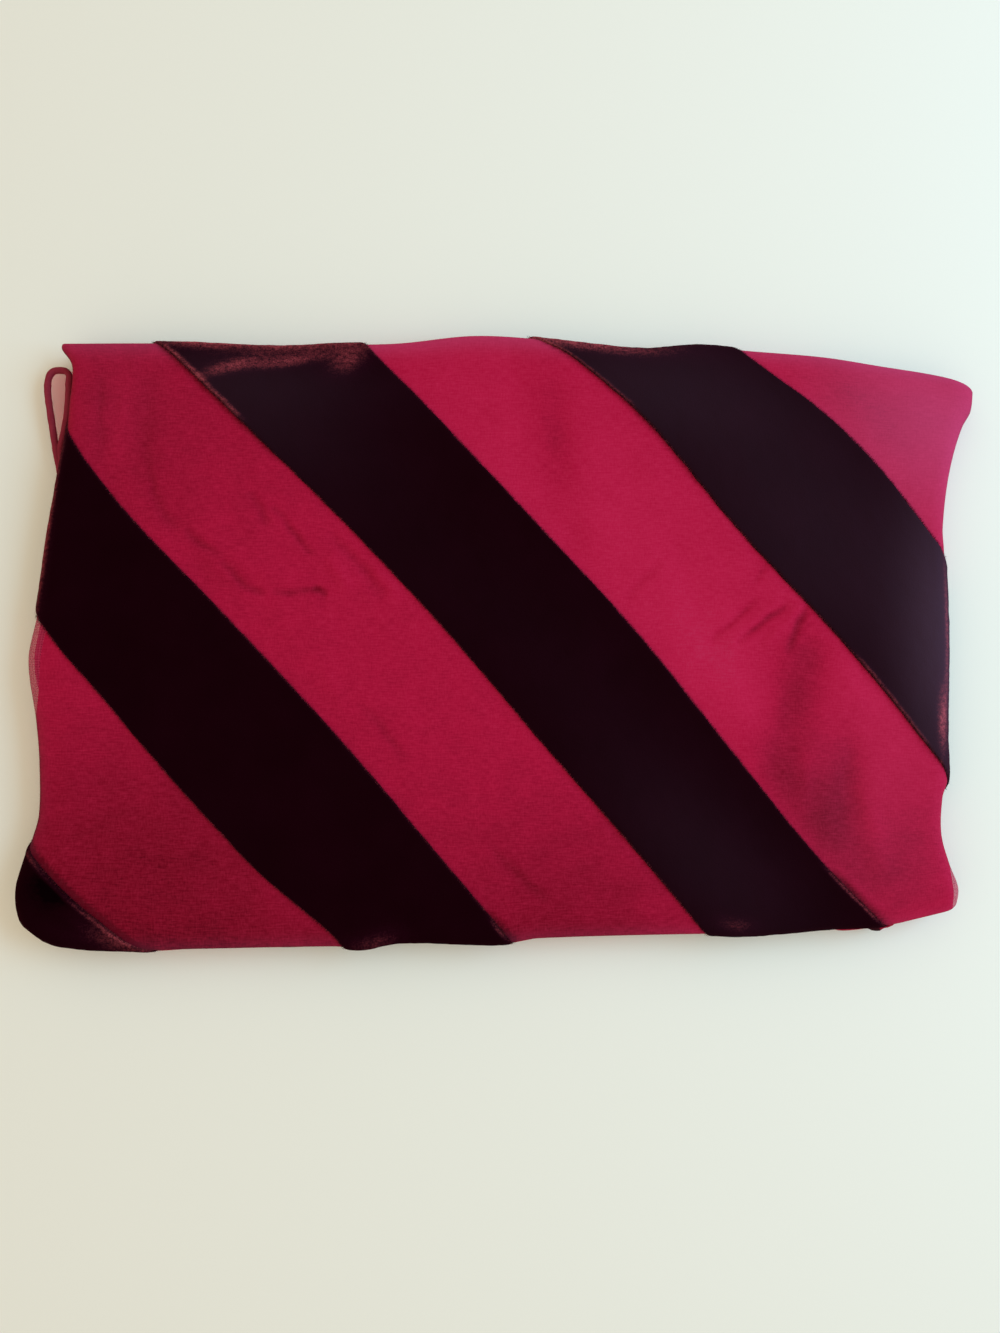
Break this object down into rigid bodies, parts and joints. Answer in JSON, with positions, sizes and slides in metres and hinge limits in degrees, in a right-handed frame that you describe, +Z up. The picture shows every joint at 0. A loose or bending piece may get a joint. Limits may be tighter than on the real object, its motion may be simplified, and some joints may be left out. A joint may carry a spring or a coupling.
{
  "type": "folded velvet scarf",
  "caption": "Sheer scarf with broad diagonal velvet bands, folded into a flat packet that lies on a surface, with rounded folds and a hemmed end that peeks out",
  "frame": {"origin": "centre of the bounding box's bottom, on the surface that the packet lies on", "axes": "+X along the packet's longer side to the right of the picture, +Y away from the viewer, +Z up out of the surface"},
  "size_m": [0.4122, 0.2648, 0.0187],
  "materials": {
    "sheer_ground": "sheer georgette, faint weave",
    "velvet_pile": "short velvet pile with a red sheen at its edges",
    "sheer_layers": "folded layers of sheer cloth and velvet",
    "rolled_hem": "narrow rolled hem"
  },
  "bodies": {
    "root": {"top_leaf": "sheer_ground", "velvet_band_1": "velvet_pile", "velvet_band_2": "velvet_pile", "velvet_band_3": "velvet_pile", "velvet_band_4": "velvet_pile", "hidden_layers": "sheer_layers", "end_leaf": "sheer_ground", "end_hem": "rolled_hem"}
  },
  "joints": []
}
